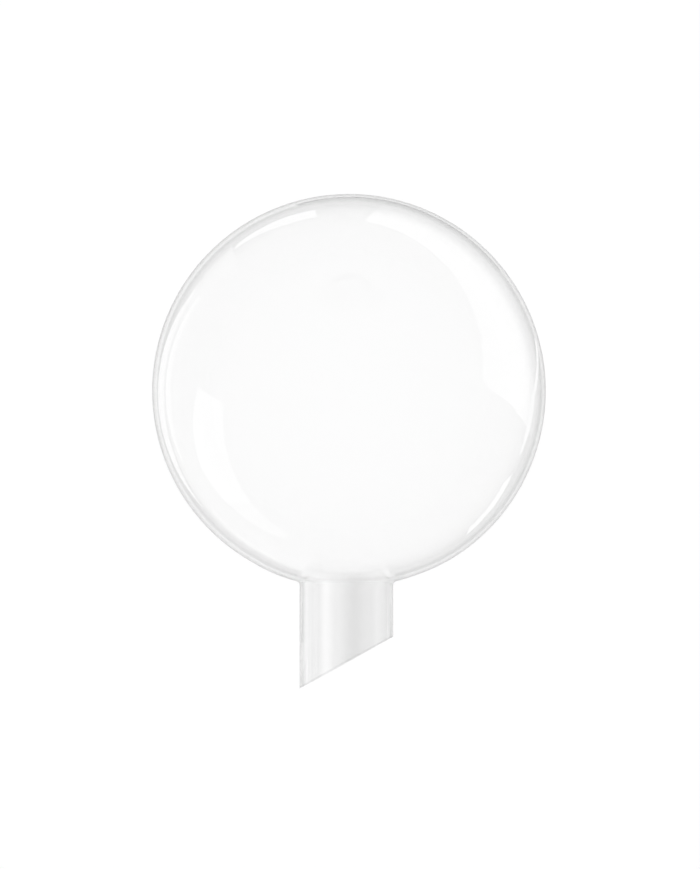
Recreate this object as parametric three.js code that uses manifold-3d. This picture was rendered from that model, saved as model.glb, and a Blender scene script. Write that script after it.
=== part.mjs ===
// Clear bubble balloon: a blown film globe with a wide, straight neck sleeve, open and cut off at a slant.
// Globe and neck are one seamless film. The balloon lies on its side on a small flat of the globe, with
// the neck pointing along -Y and the neck's long side towards -X.
// Millimetres, +Z up. The origin is the middle of the rest flat, straight under the globe's centre.
import * as THREE from 'three';
import { mergeVertices } from 'three/addons/utils/BufferGeometryUtils.js';
import Module from 'manifold-3d';

// Driving dimensions
const GLOBE_RADIUS = 225;
const GLOBE_WALL = 0.05;
const NECK_RADIUS = 53.5;
const NECK_WALL = 0.1;
const ROOT_FILLET = 5;
const NECK_TIP_Y = -340;
// The neck sits this far off the globe's axis, and the globe's film gives way to it over this length.
const NECK_ASIDE = -3;
const GIVE = 30;
const NECK_CUT_ANGLE = THREE.MathUtils.degToRad(29);
const REST_FLAT_RADIUS = 35;

// Facets around the neck's axis, from the root to the globe's far pole, and across the root fillet
const AROUND = 60;
const GLOBE_STEPS = 28;
const FILLET_STEPS = 4;

// How far a cutting solid runs past what it cuts
const OVERRUN = 20;

const CENTRE_HEIGHT = Math.sqrt(GLOBE_RADIUS ** 2 - REST_FLAT_RADIUS ** 2);

const wasm = await Module();
wasm.setup();

// Half outline of a globe with a tube below it, joined by a fillet: from the tube's end on the axis
// up to the globe's far pole.
function balloonProfile(globeRadius, tubeRadius, fillet, tubeEndY) {
  const filletX = tubeRadius + fillet;
  const filletY = -Math.sqrt((globeRadius + fillet) ** 2 - filletX ** 2);
  const profile = [new THREE.Vector2(0, tubeEndY), new THREE.Vector2(tubeRadius, tubeEndY)];
  const rootTurn = Math.atan2(-filletY, -filletX);
  for (let i = 0; i < FILLET_STEPS; i++) {
    const turn = THREE.MathUtils.lerp(Math.PI, rootTurn, i / FILLET_STEPS);
    profile.push(new THREE.Vector2(filletX + fillet * Math.cos(turn), filletY + fillet * Math.sin(turn)));
  }
  const rootPolar = Math.atan2(filletX, filletY);
  for (let i = 0; i < GLOBE_STEPS; i++) {
    const polar = THREE.MathUtils.lerp(rootPolar, 0, i / GLOBE_STEPS);
    profile.push(new THREE.Vector2(globeRadius * Math.sin(polar), globeRadius * Math.cos(polar)));
  }
  profile.push(new THREE.Vector2(0, globeRadius));
  return profile;
}

// A profile turned about the globe's axis, which runs level through its centre, with the neck moved aside.
function turned(profile) {
  const geometry = new THREE.LatheGeometry(profile, AROUND).translate(0, 0, CENTRE_HEIGHT);
  const places = geometry.attributes.position;
  const rootY = -Math.sqrt(GLOBE_RADIUS ** 2 - (NECK_RADIUS + ROOT_FILLET) ** 2);
  for (let i = 0; i < places.count; i++) {
    const share = 1 - THREE.MathUtils.smoothstep(places.getY(i), rootY, rootY + GIVE);
    places.setX(i, places.getX(i) + NECK_ASIDE * share);
  }
  return geometry;
}

// What the film keeps: all above the rest flat, down to the slanted cut. The cut runs from the sleeve's
// tip on the -X side up to its short side on the +X side, and stands upright.
function keptBlock() {
  const side = GLOBE_RADIUS + OVERRUN;
  const slope = Math.tan(NECK_CUT_ANGLE);
  const tipX = NECK_ASIDE - NECK_RADIUS;
  const outline = new THREE.Shape([
    new THREE.Vector2(-side, NECK_TIP_Y + slope * (-side - tipX)),
    new THREE.Vector2(side, NECK_TIP_Y + slope * (side - tipX)),
    new THREE.Vector2(side, side),
    new THREE.Vector2(-side, side),
  ]);
  return new THREE.ExtrudeGeometry(outline, { depth: CENTRE_HEIGHT + side, bevelEnabled: false });
}

// Room over the film at the rest flat, so that the flat has the globe's wall too.
function airBlock() {
  const width = 2 * (GLOBE_RADIUS + OVERRUN);
  const length = 2 * (3 * OVERRUN - NECK_TIP_Y);
  const height = CENTRE_HEIGHT + GLOBE_RADIUS + OVERRUN;
  return new THREE.BoxGeometry(width, length, height).translate(0, 0, GLOBE_WALL + height / 2);
}

// A closed three.js geometry as a solid that can be cut and joined.
function solid(geometry) {
  geometry.deleteAttribute('normal');
  geometry.deleteAttribute('uv');
  const merged = mergeVertices(geometry, 1e-4);
  const corners = merged.index.array;
  const faces = [];
  for (let i = 0; i < corners.length; i += 3) {
    const [a, b, c] = corners.slice(i, i + 3);
    if (a !== b && b !== c && c !== a) faces.push(a, b, c);
  }
  return new wasm.Manifold(new wasm.Mesh({
    numProp: 3,
    vertProperties: merged.attributes.position.array,
    triVerts: new Uint32Array(faces),
  }));
}

function geometryOf(manifold) {
  const mesh = manifold.getMesh();
  const geometry = new THREE.BufferGeometry();
  geometry.setAttribute('position', new THREE.BufferAttribute(mesh.vertProperties, 3));
  geometry.setIndex(new THREE.BufferAttribute(mesh.triVerts, 1));
  geometry.computeVertexNormals();
  return geometry;
}

// The film: the outer shape less the air inside it. The air's tube runs out past the sleeve's end,
// which leaves the neck open.
function bubbleFilm() {
  const outerEndY = NECK_TIP_Y - OVERRUN;
  const airEndY = outerEndY - OVERRUN;
  const outer = solid(turned(balloonProfile(GLOBE_RADIUS, NECK_RADIUS, ROOT_FILLET, outerEndY)));
  const air = solid(turned(balloonProfile(
    GLOBE_RADIUS - GLOBE_WALL,
    NECK_RADIUS - NECK_WALL,
    ROOT_FILLET + NECK_WALL,
    airEndY,
  )));
  const shell = outer.intersect(solid(keptBlock())).subtract(air.intersect(solid(airBlock())));
  const clearFilm = new THREE.MeshStandardMaterial({
    color: 0xf7f9fa,
    roughness: 0.05,
    metalness: 0,
    transparent: true,
    opacity: 0.15,
  });
  const film = new THREE.Mesh(geometryOf(shell), clearFilm);
  film.name = 'bubble_film';
  return film;
}

const balloon = new THREE.Group();
balloon.add(bubbleFilm());

export default balloon;
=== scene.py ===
"""Clear bubble balloon, lying on its side: a blown film globe with a wide, open neck sleeve.

Globe and sleeve are one seamless film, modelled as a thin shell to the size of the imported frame. The
globe is blown first, the sleeve is drawn out of its root and cut off at a slant, and the film then gets
its gauge.
"""
import math

import bmesh
import bpy
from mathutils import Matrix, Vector


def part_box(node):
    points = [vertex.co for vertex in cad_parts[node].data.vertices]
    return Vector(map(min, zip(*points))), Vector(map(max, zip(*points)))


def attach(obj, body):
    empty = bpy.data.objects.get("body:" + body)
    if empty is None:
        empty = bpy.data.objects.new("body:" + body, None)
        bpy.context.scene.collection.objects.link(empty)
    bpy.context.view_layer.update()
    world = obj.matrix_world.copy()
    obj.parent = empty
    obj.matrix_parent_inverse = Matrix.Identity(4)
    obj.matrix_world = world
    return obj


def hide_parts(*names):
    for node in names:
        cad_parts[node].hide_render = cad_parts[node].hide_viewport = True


bl_info = {
    "name": "Clear Bubble Balloon",
    "version": (1, 0, 0),
    "blender": (4, 5, 0),
    "location": "3D Viewport > Sidebar > Bubble Balloon",
    "description": "Models a clear film balloon with a wide neck sleeve, and its studio",
    "category": "Object",
}

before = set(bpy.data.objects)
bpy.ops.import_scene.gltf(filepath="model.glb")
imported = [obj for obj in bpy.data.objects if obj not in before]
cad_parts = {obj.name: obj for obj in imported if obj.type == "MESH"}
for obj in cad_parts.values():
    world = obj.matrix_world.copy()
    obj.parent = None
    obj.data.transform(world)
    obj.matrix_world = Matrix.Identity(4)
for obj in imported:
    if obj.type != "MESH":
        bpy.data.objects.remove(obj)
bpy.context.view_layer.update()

FILM_NODE = "bubble_film"
CAD_LOW, CAD_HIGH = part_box(FILM_NODE)

GLOBE_RADIUS = CAD_HIGH.y
CENTRE = Vector((0.0, 0.0, CAD_HIGH.z - CAD_HIGH.x))
SLEEVE_TIP_Y = CAD_LOW.y

# A hair, for picking vertices on a plane and for keeping flat things apart.
HAIR = 0.0005
# Radius of the pale floor.
FLOOR_RADIUS = 60.0


# ---------------------------------------------------------------- what a user would change

class FilmSizes(bpy.types.PropertyGroup):
    """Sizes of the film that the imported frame's box doesn't give."""

    sleeve_radius: bpy.props.FloatProperty(
        name="Sleeve radius",
        description="Outer radius of the neck sleeve",
        default=0.0535,
        unit="LENGTH",
    )
    sleeve_aside: bpy.props.FloatProperty(
        name="Sleeve aside",
        description="How far the sleeve sits off the globe's axis",
        default=-0.003,
        unit="LENGTH",
    )
    root_fillet: bpy.props.FloatProperty(
        name="Root fillet",
        description="Radius of the round corner between the globe and its sleeve",
        default=0.005,
        unit="LENGTH",
    )
    cut_angle: bpy.props.FloatProperty(
        name="Cut angle",
        description="Slant of the sleeve's cut end, from square across",
        default=math.radians(29),
        subtype="ANGLE",
    )
    globe_gauge: bpy.props.FloatProperty(
        name="Globe gauge",
        description="Thickness of the blown film of the globe",
        default=0.00005,
        unit="LENGTH",
        precision=6,
    )
    sleeve_gauge: bpy.props.FloatProperty(
        name="Sleeve gauge",
        description="Thickness of the unstretched film of the sleeve",
        default=0.0001,
        unit="LENGTH",
        precision=6,
    )
    around: bpy.props.IntProperty(
        name="Facets around",
        description="Facets around the neck's axis",
        default=192,
        min=24,
    )


class FilmLook(bpy.types.PropertyGroup):
    """Colours and finish of the film."""

    # Painted shade: the sleeve's milky tint fades in between these two places, and with it the painted
    # shade bands across the sleeve.
    milk_and_shade_from: bpy.props.FloatProperty(
        name="Milk from",
        description="Place along the neck's axis where the film starts to turn milky",
        default=-0.2055,
        unit="LENGTH",
    )
    milk_and_shade_full: bpy.props.FloatProperty(
        name="Milk full",
        description="Place along the neck's axis from where on the film is fully milky",
        default=-0.2155,
        unit="LENGTH",
    )
    clear_tint: bpy.props.FloatVectorProperty(
        name="Clear tint",
        description="Light that one wall of blown, clear film lets through",
        default=(0.985, 0.985, 0.985),
        size=3,
        subtype="COLOR",
    )
    # Painted shade: the darkest of the bands across the sleeve, partly thicker, milkier film and partly
    # painted shade and reflection of a round tube.
    darkest_band_tint: bpy.props.FloatVectorProperty(
        name="Thick tint",
        description="Light that the thickest, milkiest streak of the sleeve lets through",
        default=(0.866, 0.866, 0.866),
        size=3,
        subtype="COLOR",
    )
    # Painted shade: the film's tint is darkened by this much along its cut, as a painted dark line at the
    # cut edge.
    cut_shade: bpy.props.FloatVectorProperty(
        name="Cut tint",
        description="Share of its light that the film still lets through along its cut",
        default=(0.925, 0.925, 0.925),
        size=3,
        subtype="COLOR",
    )
    # Painted shade: width of the dark line painted along the cut.
    cut_width: bpy.props.FloatProperty(
        name="Cut width",
        description="Width of the dulled band along the cut, with the half next to the cut fully dull",
        default=0.0024,
        unit="LENGTH",
        precision=4,
    )
    refraction: bpy.props.FloatProperty(
        name="Refractive index",
        description="Refractive index of the film",
        default=1.45,
        min=1.0,
        max=2.0,
    )


class StudioSettings(bpy.types.PropertyGroup):
    """Floor, light and camera."""

    floor_tint: bpy.props.FloatVectorProperty(
        name="Floor",
        description="Colour of the pale floor",
        default=(0.97, 0.97, 0.97),
        size=3,
        subtype="COLOR",
    )
    soft_light: bpy.props.FloatProperty(
        name="Soft light",
        description="Brightness of the even light from all sides, and of the plain backdrop",
        default=1.04,
        min=0.0,
    )
    sheen_top: bpy.props.FloatProperty(
        name="Sheen overhead",
        description="Brightness straight overhead, as the film's gloss shows it",
        default=1.02,
        min=0.0,
    )
    sheen_rim: bpy.props.FloatProperty(
        name="Sheen at the horizon",
        description="Brightness at the horizon, as the film's gloss shows it",
        default=0.58,
        min=0.0,
    )
    camera_height: bpy.props.FloatProperty(
        name="Camera height",
        description="Height of the camera over the globe's centre",
        default=20.0,
        unit="LENGTH",
    )
    camera_side: bpy.props.FloatProperty(
        name="Camera aside",
        description="How far the camera stands off the globe's axis",
        default=0.00115,
        unit="LENGTH",
        precision=5,
    )
    camera_along: bpy.props.FloatProperty(
        name="Camera along",
        description="Where the camera stands along the globe's axis",
        default=-0.0499,
        unit="LENGTH",
        precision=4,
    )
    lens: bpy.props.FloatProperty(
        name="Lens",
        description="Focal length in millimetres",
        default=725.1,
    )


# ---------------------------------------------------------------- modelling helpers

def start_mesh_edit(obj):
    """Makes obj the only selected object, in edit mode with nothing selected."""
    bpy.ops.object.select_all(action="DESELECT")
    obj.select_set(True)
    bpy.context.view_layer.objects.active = obj
    bpy.ops.object.mode_set(mode="EDIT")
    bpy.ops.mesh.select_mode(type="VERT")
    bpy.ops.mesh.select_all(action="DESELECT")


def pick(obj, wanted):
    """Selects the vertices of an object in edit mode whose place passes a test."""
    mesh = bmesh.from_edit_mesh(obj.data)
    for vert in mesh.verts:
        vert.select_set(wanted(vert.co))
    mesh.select_flush(True)
    bmesh.update_edit_mesh(obj.data)


def pick_open_edge(obj):
    """Selects the open edge of an object in edit mode."""
    bpy.ops.mesh.select_all(action="DESELECT")
    bpy.ops.mesh.select_non_manifold(
        extend=False,
        use_wire=False,
        use_boundary=True,
        use_multi_face=False,
        use_non_contiguous=False,
        use_verts=False,
    )


def apply_modifier(obj, kind, **settings):
    modifier = obj.modifiers.new(kind.title(), kind)
    for name, value in settings.items():
        setattr(modifier, name, value)
    bpy.ops.object.modifier_apply(modifier=modifier.name)


def fill_ramp(ramp, stops):
    """Fills a colour ramp with greys, given as places from 0 to 1 and values."""
    while len(ramp.elements) < len(stops):
        ramp.elements.new(0.5)
    for element, (position, value) in zip(ramp.elements, stops):
        element.position = position
        element.color = (value, value, value, 1)


# ---------------------------------------------------------------- the film

def fillet_centre(sizes):
    """Distance out from the neck's axis, and place along it, of the root fillet's centre."""
    out = sizes.sleeve_radius + sizes.root_fillet
    along = -math.sqrt((GLOBE_RADIUS + sizes.root_fillet) ** 2 - out**2)
    return out, along


def root_y(sizes):
    """Place along the neck's axis where the globe ends and the root fillet starts."""
    out, along = fillet_centre(sizes)
    return along * GLOBE_RADIUS / math.hypot(out, along)


def blow_globe(sizes):
    """A globe with its poles on the neck's axis, open where the root fillet starts."""
    bpy.ops.object.select_all(action="DESELECT")
    bpy.ops.mesh.primitive_uv_sphere_add(
        segments=sizes.around,
        ring_count=sizes.around // 2,
        radius=GLOBE_RADIUS,
        location=CENTRE,
        rotation=(math.pi / 2, 0, 0),
    )
    film = bpy.context.object
    film.name = "bubble_balloon_film"
    film.data.name = "bubble_balloon_film"
    bpy.ops.object.transform_apply(location=True, rotation=True, scale=True)
    start_mesh_edit(film)
    bpy.ops.mesh.select_all(action="SELECT")
    bpy.ops.mesh.bisect(plane_co=(0, root_y(sizes), 0), plane_no=(0, -1, 0), clear_outer=True)
    bpy.ops.object.mode_set(mode="OBJECT")
    return film


def draw_ring(radius, new_radius, y_from, y_to):
    """The open edge is drawn out along the neck's axis to a new ring."""
    bpy.ops.mesh.extrude_region_move(TRANSFORM_OT_translate={"value": (0, y_to - y_from, 0)})
    factor = new_radius / radius
    bpy.ops.transform.resize(value=(factor, 1, factor), center_override=(0, y_to, CENTRE.z))


def draw_sleeve(film, sizes):
    """The sleeve grows out of the globe's open root, round the fillet and straight on, past its tip."""
    fillet_steps = 6
    ring_step = 0.004
    waste = 0.012
    out, along = fillet_centre(sizes)
    start_turn = math.atan2(-along, -out)
    rings = []
    for step in range(fillet_steps + 1):
        turn = start_turn + (math.pi - start_turn) * step / fillet_steps
        radius = out + sizes.root_fillet * math.cos(turn)
        rings.append((radius, along + sizes.root_fillet * math.sin(turn)))
    straight = along - SLEEVE_TIP_Y + waste
    count = math.ceil(straight / ring_step)
    for step in range(1, count + 1):
        rings.append((sizes.sleeve_radius, along - straight * step / count))
    start_mesh_edit(film)
    pick_open_edge(film)
    for (radius, y), (new_radius, new_y) in zip(rings, rings[1:]):
        draw_ring(radius, new_radius, y, new_y)
    bpy.ops.object.mode_set(mode="OBJECT")


def move_sleeve_aside(film, sizes):
    """The sleeve sits a little off the globe's axis, and the film around its root gives way."""
    give = 0.07
    past_root = root_y(sizes) + HAIR / 10
    start_mesh_edit(film)
    pick(film, lambda place: place.y < past_root)
    bpy.ops.transform.translate(
        value=(sizes.sleeve_aside, 0, 0),
        use_proportional_edit=True,
        proportional_edit_falloff="SMOOTH",
        proportional_size=give,
    )
    bpy.ops.object.mode_set(mode="OBJECT")


def cut_sleeve(film, sizes):
    """The sleeve is cut off at a slant, with its long side towards -X."""
    start_mesh_edit(film)
    bpy.ops.mesh.select_all(action="SELECT")
    bpy.ops.mesh.bisect(
        plane_co=(sizes.sleeve_aside - sizes.sleeve_radius, SLEEVE_TIP_Y, CENTRE.z),
        plane_no=(math.sin(sizes.cut_angle), -math.cos(sizes.cut_angle), 0),
        clear_outer=True,
    )
    bpy.ops.object.mode_set(mode="OBJECT")


def flatten_rest(film):
    """The patch that the globe lies on is pressed flat, and slivers there and along the cut are welded."""
    weld = 0.0002
    start_mesh_edit(film)
    bpy.ops.mesh.select_all(action="SELECT")
    bpy.ops.mesh.bisect(plane_co=(0, 0, 0), plane_no=(0, 0, -1))
    pick(film, lambda place: place.z < 0)
    bpy.ops.transform.resize(value=(1, 1, 0), center_override=(0, 0, 0))
    bpy.ops.mesh.select_all(action="SELECT")
    bpy.ops.mesh.remove_doubles(threshold=weld)
    bpy.ops.mesh.normals_make_consistent(inside=False)
    bpy.ops.object.mode_set(mode="OBJECT")


def gauge_film(film, sizes):
    """The film gets its thickness: thin on the globe and thicker on the sleeve."""
    gauge = film.vertex_groups.new(name="film_gauge")
    _, along = fillet_centre(sizes)

    def set_gauge(thickness):
        bpy.context.tool_settings.vertex_group_weight = thickness / sizes.sleeve_gauge
        bpy.ops.object.vertex_group_assign()

    start_mesh_edit(film)
    bpy.ops.mesh.select_all(action="SELECT")
    set_gauge(sizes.globe_gauge)
    pick(film, lambda place: place.y < along + HAIR)
    set_gauge(sizes.sleeve_gauge)
    bpy.ops.object.mode_set(mode="OBJECT")
    apply_modifier(
        film,
        "SOLIDIFY",
        thickness=sizes.sleeve_gauge,
        offset=-1.0,
        vertex_group=gauge.name,
        thickness_vertex_group=0.0,
    )
    film.vertex_groups.clear()


def see_through(name, look):
    """Glossy, see-through film."""
    material = bpy.data.materials.new(name)
    material.use_nodes = True
    shader = material.node_tree.nodes["Principled BSDF"]
    shader.inputs["Base Color"].default_value = (*look.clear_tint, 1.0)
    shader.inputs["IOR"].default_value = look.refraction
    shader.inputs["Roughness"].default_value = 0.0
    shader.inputs["Transmission Weight"].default_value = 1.0
    return material


def milky_film_with_painted_bands(sizes, look):
    """Less stretched, milkier film on the sleeve and out from its root, tinted with painted shade and
    painted reflection bands of a round tube, and with a painted dark line along its cut.
    """
    material = see_through("milky sleeve film with painted shade bands", look)
    nodes, links = material.node_tree.nodes, material.node_tree.links
    shader = nodes["Principled BSDF"]
    place = nodes.new("ShaderNodeTexCoord")
    axes = nodes.new("ShaderNodeSeparateXYZ")
    links.new(place.outputs["Object"], axes.inputs[0])

    # Where a point lies around the sleeve's axis, told by its share of the way across. The way starts and
    # ends a little outside the sleeve.
    reach = 1.05
    from_axis = nodes.new("ShaderNodeVectorMath")
    from_axis.operation = "SUBTRACT"
    from_axis.inputs[1].default_value = (sizes.sleeve_aside, 0, CENTRE.z)
    flat = nodes.new("ShaderNodeVectorMath")
    flat.operation = "MULTIPLY"
    flat.inputs[1].default_value = (1, 0, 1)
    around = nodes.new("ShaderNodeVectorMath")
    around.operation = "NORMALIZE"
    bearing = nodes.new("ShaderNodeSeparateXYZ")
    across = nodes.new("ShaderNodeMapRange")
    across.inputs["From Min"].default_value = -reach
    across.inputs["From Max"].default_value = reach
    links.new(place.outputs["Object"], from_axis.inputs[0])
    links.new(from_axis.outputs["Vector"], flat.inputs[0])
    links.new(flat.outputs["Vector"], around.inputs[0])
    links.new(around.outputs["Vector"], bearing.inputs[0])
    links.new(bearing.outputs["X"], across.inputs["Value"])

    # Share of the way across the sleeve, and how clear its tint is there: the bands are painted shade and
    # painted reflection of a round, glossy tube, laid over the sleeve's milkier film.
    shade_bands = [
        (0.0, 1.0), (0.02, 0.1), (0.05, 0.2), (0.09, 0.85), (0.16, 0.45), (0.2, 0.5), (0.29, 1.0),
        (0.4, 0.55), (0.58, 0.0), (0.74, 0.3), (0.83, 0.5), (0.91, 0.25), (0.94, 0.65), (0.96, 0.15),
        (1.0, 1.0),
    ]
    band_shading = nodes.new("ShaderNodeValToRGB")
    band_shading.color_ramp.interpolation = "EASE"
    fill_ramp(band_shading.color_ramp, shade_bands)
    links.new(across.outputs["Result"], band_shading.inputs["Fac"])

    tint = nodes.new("ShaderNodeMix")
    tint.data_type = "RGBA"
    tint.inputs["A"].default_value = (*look.darkest_band_tint, 1.0)
    tint.inputs["B"].default_value = (*look.clear_tint, 1.0)
    links.new(band_shading.outputs["Color"], tint.inputs["Factor"])

    # Painted shade: the film's tint is darkened in a band along its cut, a painted dark line at the cut
    # edge.
    slant = Vector((math.sin(sizes.cut_angle), -math.cos(sizes.cut_angle), 0))
    tip = Vector((sizes.sleeve_aside - sizes.sleeve_radius, SLEEVE_TIP_Y, 0))
    along = nodes.new("ShaderNodeVectorMath")
    along.operation = "DOT_PRODUCT"
    along.inputs[1].default_value = slant
    links.new(place.outputs["Object"], along.inputs[0])
    near_cut = nodes.new("ShaderNodeMapRange")
    near_cut.inputs["From Min"].default_value = tip.dot(slant) - look.cut_width
    near_cut.inputs["From Max"].default_value = tip.dot(slant) - look.cut_width / 2
    links.new(along.outputs["Value"], near_cut.inputs["Value"])
    shaded = nodes.new("ShaderNodeMix")
    shaded.data_type = "RGBA"
    shaded.blend_type = "MULTIPLY"
    shaded.inputs["B"].default_value = (*look.cut_shade, 1.0)
    links.new(near_cut.outputs["Result"], shaded.inputs["Factor"])
    links.new(tint.outputs["Result"], shaded.inputs["A"])

    # The milky tint, with its painted shade bands, fades in from the sleeve's root.
    root = nodes.new("ShaderNodeMapRange")
    root.interpolation_type = "SMOOTHSTEP"
    root.inputs["From Min"].default_value = look.milk_and_shade_from
    root.inputs["From Max"].default_value = look.milk_and_shade_full
    links.new(axes.outputs["Y"], root.inputs["Value"])
    faded = nodes.new("ShaderNodeMix")
    faded.data_type = "RGBA"
    faded.inputs["A"].default_value = (*look.clear_tint, 1.0)
    links.new(root.outputs["Result"], faded.inputs["Factor"])
    links.new(shaded.outputs["Result"], faded.inputs["B"])
    links.new(faded.outputs["Result"], shader.inputs["Base Color"])
    return material


def paint_film(film, sizes, look):
    """Clear film on the globe, and thicker, faintly milky film on the sleeve and around its root, tinted
    with painted shade bands.
    """
    spare = 0.004
    film.data.materials.append(see_through("clear globe film", look))
    film.data.materials.append(milky_film_with_painted_bands(sizes, look))
    start_mesh_edit(film)
    pick(film, lambda place: place.y < look.milk_and_shade_from + spare)
    film.active_material_index = 1
    bpy.ops.object.material_slot_assign()
    bpy.ops.object.mode_set(mode="OBJECT")


class BALLOON_OT_film(bpy.types.Operator):
    """Models the balloon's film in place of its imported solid"""

    bl_idname = "balloon.film"
    bl_label = "Blow the film"

    def execute(self, context):
        sizes = context.scene.balloon_sizes
        film = blow_globe(sizes)
        draw_sleeve(film, sizes)
        move_sleeve_aside(film, sizes)
        cut_sleeve(film, sizes)
        flatten_rest(film)
        paint_film(film, sizes, context.scene.balloon_look)
        gauge_film(film, sizes)
        bpy.ops.object.shade_smooth_by_angle(angle=math.radians(40))
        film.visible_diffuse = False
        film.visible_shadow = False
        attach(film, "root")
        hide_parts(FILM_NODE)
        return {"FINISHED"}


# ---------------------------------------------------------------- the studio

def lay_floor(studio):
    bpy.ops.object.select_all(action="DESELECT")
    bpy.ops.mesh.primitive_circle_add(
        vertices=96,
        radius=FLOOR_RADIUS,
        fill_type="NGON",
        location=(0, 0, -HAIR),
    )
    bpy.ops.object.transform_apply(location=True, rotation=True, scale=True)
    floor = bpy.context.object
    floor.name = "studio_floor"
    material = bpy.data.materials.new("pale floor")
    material.use_nodes = True
    shader = material.node_tree.nodes["Principled BSDF"]
    shader.inputs["Base Color"].default_value = (*studio.floor_tint, 1.0)
    shader.inputs["Roughness"].default_value = 1.0
    shader.inputs["Specular IOR Level"].default_value = 0.0
    floor.data.materials.append(material)


def light_dome(studio):
    """Even, soft light from all sides. The film's gloss shows it as a dome that dims to the horizon."""
    world = bpy.data.worlds.new("studio dome")
    bpy.context.scene.world = world
    world.use_nodes = True
    nodes, links = world.node_tree.nodes, world.node_tree.links
    background = nodes["Background"]
    background.inputs["Color"].default_value = (1, 1, 1, 1)
    place = nodes.new("ShaderNodeTexCoord")
    axes = nodes.new("ShaderNodeSeparateXYZ")
    dome = nodes.new("ShaderNodeMapRange")
    dome.inputs["To Min"].default_value = studio.sheen_rim
    dome.inputs["To Max"].default_value = studio.sheen_top
    # A ray that has gone through film counts as glossy too, and it sees the plain backdrop.
    ray = nodes.new("ShaderNodeLightPath")
    gloss = nodes.new("ShaderNodeMath")
    gloss.operation = "SUBTRACT"
    gloss.use_clamp = True
    strength = nodes.new("ShaderNodeMix")
    strength.inputs["A"].default_value = studio.soft_light
    links.new(place.outputs["Generated"], axes.inputs[0])
    links.new(axes.outputs["Z"], dome.inputs["Value"])
    links.new(ray.outputs["Is Glossy Ray"], gloss.inputs[0])
    links.new(ray.outputs["Is Transmission Ray"], gloss.inputs[1])
    links.new(gloss.outputs[0], strength.inputs["Factor"])
    links.new(dome.outputs["Result"], strength.inputs["B"])
    links.new(strength.outputs["Result"], background.inputs["Strength"])


def glow(name, brightness):
    """Even light on a card, or a light that changes with the distance from the card's origin."""
    material = bpy.data.materials.new(name)
    material.use_nodes = True
    material.cycles.emission_sampling = "NONE"
    nodes, links = material.node_tree.nodes, material.node_tree.links
    nodes.remove(nodes["Principled BSDF"])
    light = nodes.new("ShaderNodeEmission")
    links.new(light.outputs[0], nodes["Material Output"].inputs["Surface"])
    if isinstance(brightness, (int, float)):
        light.inputs["Strength"].default_value = brightness
        return material
    nearest, farthest = brightness[0][0], brightness[-1][0]
    place = nodes.new("ShaderNodeTexCoord")
    length = nodes.new("ShaderNodeVectorMath")
    length.operation = "LENGTH"
    reach = nodes.new("ShaderNodeMapRange")
    reach.inputs["From Min"].default_value = nearest * GLOBE_RADIUS
    reach.inputs["From Max"].default_value = farthest * GLOBE_RADIUS
    steps = nodes.new("ShaderNodeValToRGB")
    span = farthest - nearest
    fill_ramp(steps.color_ramp, [((distance - nearest) / span, value) for distance, value in brightness])
    links.new(place.outputs["Object"], length.inputs[0])
    links.new(length.outputs["Value"], reach.inputs["Value"])
    links.new(reach.outputs["Result"], steps.inputs["Fac"])
    links.new(steps.outputs["Color"], light.inputs["Color"])
    return material


def cut_outline(card, outline):
    """Cuts a flat card in edit mode to a convex outline, given as corners in globe radii."""
    corners = [Vector((*corner, 0)) * GLOBE_RADIUS for corner in outline]
    middle = sum(corners, Vector()) / len(corners)
    for corner, next_corner in zip(corners, corners[1:] + corners[:1]):
        edge = next_corner - corner
        outward = Vector((edge.y, -edge.x, 0)).normalized()
        if outward.dot(corner - middle) < 0:
            outward.negate()
        bpy.ops.mesh.select_all(action="SELECT")
        bpy.ops.mesh.bisect(plane_co=card.matrix_world @ corner, plane_no=outward, clear_outer=True)


def show_in_gloss(card, material):
    """The card shows only in the film's gloss."""
    card.data.materials.append(material)
    card.visible_camera = False
    card.visible_diffuse = False
    card.visible_transmission = False
    card.visible_shadow = False


def lay_card(name, height, inner, outer, brightness, outline=None, middle=(0, 0)):
    """A flat ring around the globe, whole or cut to an outline."""
    bpy.ops.object.select_all(action="DESELECT")
    place = Vector((*middle, 0)) * GLOBE_RADIUS
    place.z = height
    bpy.ops.mesh.primitive_circle_add(vertices=144, radius=inner * GLOBE_RADIUS, location=place)
    card = bpy.context.object
    card.name = name
    start_mesh_edit(card)
    bpy.ops.mesh.select_all(action="SELECT")
    bpy.ops.mesh.extrude_region_move()
    factor = outer / inner
    bpy.ops.transform.resize(value=(factor, factor, 1), center_override=place)
    if outline:
        cut_outline(card, outline)
    bpy.ops.object.mode_set(mode="OBJECT")
    show_in_gloss(card, glow(name, brightness))


def stand_card(name, bearing, distance, brightness, outline):
    """An upright card, cut to an outline whose origin is level with the globe's centre."""
    turn = math.radians(bearing)
    uncut_size = 60 * GLOBE_RADIUS
    bpy.ops.object.select_all(action="DESELECT")
    bpy.ops.mesh.primitive_plane_add(size=uncut_size, location=(0, 0, 0))
    card = bpy.context.object
    card.name = name
    start_mesh_edit(card)
    cut_outline(card, outline)
    bpy.ops.object.mode_set(mode="OBJECT")
    reach = distance * GLOBE_RADIUS
    card.location = CENTRE + Vector((reach * math.cos(turn), reach * math.sin(turn), 0))
    card.rotation_euler = (math.pi / 2, 0, turn - math.pi / 2)
    show_in_gloss(card, glow(name, brightness))


def leaning_box(length, width=1.7, lean=22, head=(2.2, 0.75)):
    """Corners of a rectangle that runs down and to the left from the middle of its head."""
    down = Vector((-math.cos(math.radians(lean)), -math.sin(math.radians(lean))))
    half = Vector((down.y, -down.x)) * width / 2
    middle = Vector(head)
    foot = middle + down * length
    return [tuple(corner) for corner in (middle - half, middle + half, foot + half, foot - half)]


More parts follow.
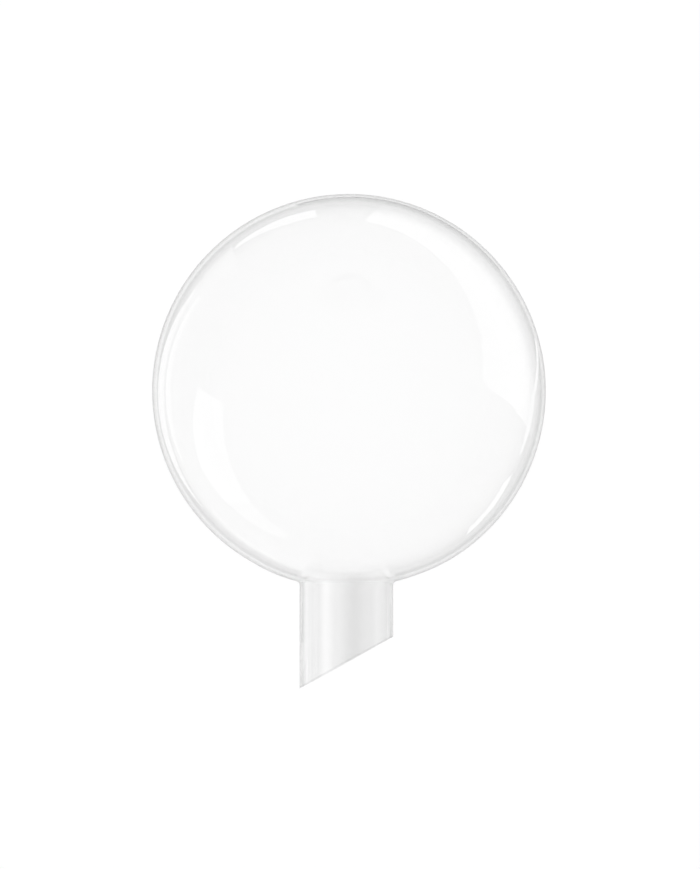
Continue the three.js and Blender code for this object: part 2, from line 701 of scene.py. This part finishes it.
def wrap_collar(name, brightness):
    """A narrow band close around the sleeve at its root, bright on its outer side only."""
    sizes = bpy.context.scene.balloon_sizes
    gap = 0.001
    length = 1.6 * sizes.root_fillet
    _, along = fillet_centre(sizes)
    middle = along - 0.2 * sizes.root_fillet
    bpy.ops.object.select_all(action="DESELECT")
    bpy.ops.mesh.primitive_cylinder_add(
        vertices=96,
        radius=sizes.sleeve_radius + gap,
        depth=length,
        end_fill_type="NOTHING",
        location=(sizes.sleeve_aside, middle, CENTRE.z),
        rotation=(math.pi / 2, 0, 0),
    )
    collar = bpy.context.object
    collar.name = name
    material = glow(name, brightness)
    nodes, links = material.node_tree.nodes, material.node_tree.links
    side = nodes.new("ShaderNodeNewGeometry")
    clear = nodes.new("ShaderNodeBsdfTransparent")
    mix = nodes.new("ShaderNodeMixShader")
    links.new(side.outputs["Backfacing"], mix.inputs[0])
    links.new(nodes["Emission"].outputs[0], mix.inputs[1])
    links.new(clear.outputs[0], mix.inputs[2])
    links.new(mix.outputs[0], nodes["Material Output"].inputs["Surface"])
    show_in_gloss(collar, material)


def lay_cards():
    """Soft boxes and cards around the globe. Distances are in globe radii from the middle."""
    lay_card("far_floor", HAIR, 3.9, 260.0, 0.62)
    lay_card(
        "rim_ring", 2 * HAIR, 1.0, 1.8,
        [(1.0, 0.9), (1.15, 0.76), (1.25, 0.74), (1.35, 0.8), (1.45, 0.86), (1.8, 0.86)],
    )
    lay_card(
        "shade_ring", 3 * HAIR, 1.45, 4.0,
        [
            (1.45, 0.86), (1.53, 0.5), (1.58, 0.25), (1.66, 0.12), (1.78, 0.2), (1.9, 0.22), (2.05, 0.15),
            (2.2, 0.22), (2.4, 0.36), (2.7, 0.43), (3.2, 0.56), (4.0, 0.6),
        ],
        middle=(-0.05, -0.005),
    )
    lay_card(
        "top_shade", 4 * HAIR, 1.71, 2.06, [(1.71, 0.35), (1.74, 0.06), (1.95, 0.06), (2.06, 0.2)],
        outline=[(1.104, 1.1), (1.61, 1.586), (0.9, 2.3), (-0.4, 2.3), (-0.3, 1.543)],
        middle=(-0.08, -0.3),
    )
    lay_card(
        "left_sheet", 4 * HAIR, 1.95, 6.0,
        [(1.95, 0.3), (2.1, 0.6), (2.4, 0.78), (2.9, 0.78), (4.0, 0.72), (6.0, 0.62)],
        outline=[(-0.9, -5.9), (-0.2, -1.5), (-0.2, 0.3), (-1.2, 1.5), (-4.6, 5.0), (-6.1, 0)],
    )
    lay_card(
        "left_strip", 5 * HAIR, 1.2, 3.0, 1.05,
        outline=[
            (-1.78, 1.25), (-1.95, 1.15), (-2.08, 0.5), (-2.08, -0.1), (-1.88, -0.68), (-1.50, -1.25),
        ],
    )
    lay_card(
        "far_left_strip", 5 * HAIR, 1.2, 3.2, 1.08,
        outline=[(-2.28, 1.45), (-2.18, -0.9), (-2.3, -0.95), (-2.62, -0.2), (-2.62, 1.2), (-2.45, 1.5)],
    )
    lay_card(
        "lower_left_strip", 5 * HAIR, 1.2, 3.2, 0.98,
        outline=[(-1.7, -1.5), (-1.9, -1.6), (-0.85, -2.38), (-0.72, -2.05)],
    )
    lay_card(
        "right_sheet", 4 * HAIR, 1.75, 4.0,
        [
            (1.75, 0.2), (2.0, 0.38), (2.2, 0.52), (2.4, 0.8), (2.6, 1.02), (2.8, 1.12),
            (3.2, 1.2), (4.0, 1.28),
        ],
        outline=[(0.33, -0.47), (0.33, 3.56), (4.2, 5.0), (4.2, -0.47)],
    )
    lay_card(
        "far_right_sheet", 4 * HAIR, 3.99, 30.0, 1.32,
        outline=[(0.33, -0.47), (0.33, 3.56), (30.0, 14.5), (30.0, -0.1)],
    )
    lay_card(
        "right_strip", 5 * HAIR, 1.2, 3.2, 0.95,
        outline=[(2.06, -0.78), (2.2, -0.8), (2.4, -0.3), (2.2, 0.0), (2.02, 0.0)],
    )
    lay_card(
        "right_streak", 5 * HAIR, 1.2, 3.2, 0.95,
        outline=[(2.02, -0.06), (2.12, 0.02), (1.45, 0.42), (1.38, 0.36)],
    )
    lay_card(
        "upper_left_strip", 5 * HAIR, 1.2, 3.2, 1.1,
        outline=[(-0.4, 2.12), (-0.5, 2.75), (-0.94, 2.58), (-1.45, 1.8), (-1.3, 1.7)],
    )
    lay_card(
        "lower_right_strip", 5 * HAIR, 1.2, 3.2, 1.15,
        outline=[(1.27, -1.55), (1.5, -1.72), (2.13, -1.25), (1.96, -1.0)],
    )
    lay_card(
        "left_root_sheet", 4 * HAIR, 1.45, 2.5,
        [(1.45, 0.82), (1.55, 0.6), (1.65, 0.5), (1.8, 0.45), (2.0, 0.42), (2.2, 0.34), (2.5, 0.42)],
        outline=[(-0.38, -1.35), (-0.67, -2.4), (-0.32, -2.48), (-0.195, -1.39)],
    )
    lay_card(
        "right_root_sheet", 4 * HAIR, 1.45, 2.5,
        [(1.45, 0.72), (1.6, 0.64), (1.7, 0.52), (1.8, 0.4), (1.9, 0.24), (2.1, 0.18), (2.5, 0.24)],
        outline=[(0.17, -1.39), (0.28, -2.48), (0.6, -2.42), (0.34, -1.36)],
    )
    lay_card(
        "tip_sheet", CENTRE.z - 0.1 * GLOBE_RADIUS, 1.2, 1.9, 0.84,
        outline=[(-0.9, -1.28), (-0.262, -1.28), (-0.262, -1.58), (-0.9, -1.58)],
    )
    lay_card(
        "sleeve_shade", CENTRE.z + 0.25 * GLOBE_RADIUS, 0.95, 1.7,
        [
            (0.95, 0.74), (1.0, 0.83), (1.03, 0.68), (1.045, 0.45), (1.07, 0.45), (1.09, 0.52),
            (1.3, 0.62), (1.7, 0.62),
        ],
        outline=[(-0.235, -0.8), (0.205, -0.8), (0.27, -1.6), (-0.3, -1.6)],
    )
    wrap_collar("root_collar", 0.92)
    stand_card(
        "right_window", 0, 29.0, 1.32,
        outline=[(0.5, -0.98), (-2.4, 3.2), (-11.3, 0.0), (-11.3, -0.98)],
    )
    stand_card("left_window", 210, 4.1, 1.4, outline=leaning_box(length=3.5))
    stand_card("dim_left_window", 210, 4.15, 1.08, outline=leaning_box(length=5.5))


def place_camera(studio):
    data = bpy.data.cameras.new("camera")
    data.lens = studio.lens
    camera = bpy.data.objects.new("camera", data)
    bpy.context.scene.collection.objects.link(camera)
    camera.location = CENTRE + Vector((studio.camera_side, studio.camera_along, studio.camera_height))
    bpy.context.scene.camera = camera


class BALLOON_OT_studio(bpy.types.Operator):
    """Sets the pale floor, the soft light and the camera"""

    bl_idname = "balloon.studio"
    bl_label = "Set the studio"

    def execute(self, context):
        studio = context.scene.balloon_studio
        lay_floor(studio)
        light_dome(studio)
        lay_cards()
        place_camera(studio)
        context.scene.view_settings.view_transform = "Standard"
        return {"FINISHED"}


# ---------------------------------------------------------------- add-on

class BALLOON_PT_panel(bpy.types.Panel):
    """Lists the balloon's operators"""

    bl_idname = "BALLOON_PT_panel"
    bl_label = "Bubble Balloon"
    bl_space_type = "VIEW_3D"
    bl_region_type = "UI"
    bl_category = "Bubble Balloon"

    def draw(self, context):
        for operator in (BALLOON_OT_film, BALLOON_OT_studio):
            self.layout.operator(operator.bl_idname)


CLASSES = (FilmSizes, FilmLook, StudioSettings, BALLOON_OT_film, BALLOON_OT_studio, BALLOON_PT_panel)


def register():
    for cls in CLASSES:
        bpy.utils.register_class(cls)
    bpy.types.Scene.balloon_sizes = bpy.props.PointerProperty(type=FilmSizes)
    bpy.types.Scene.balloon_look = bpy.props.PointerProperty(type=FilmLook)
    bpy.types.Scene.balloon_studio = bpy.props.PointerProperty(type=StudioSettings)


def unregister():
    del bpy.types.Scene.balloon_studio
    del bpy.types.Scene.balloon_look
    del bpy.types.Scene.balloon_sizes
    for cls in reversed(CLASSES):
        bpy.utils.unregister_class(cls)


def main():
    register()
    bpy.ops.balloon.film()
    bpy.ops.balloon.studio()


if __name__ == "__main__":
    main()
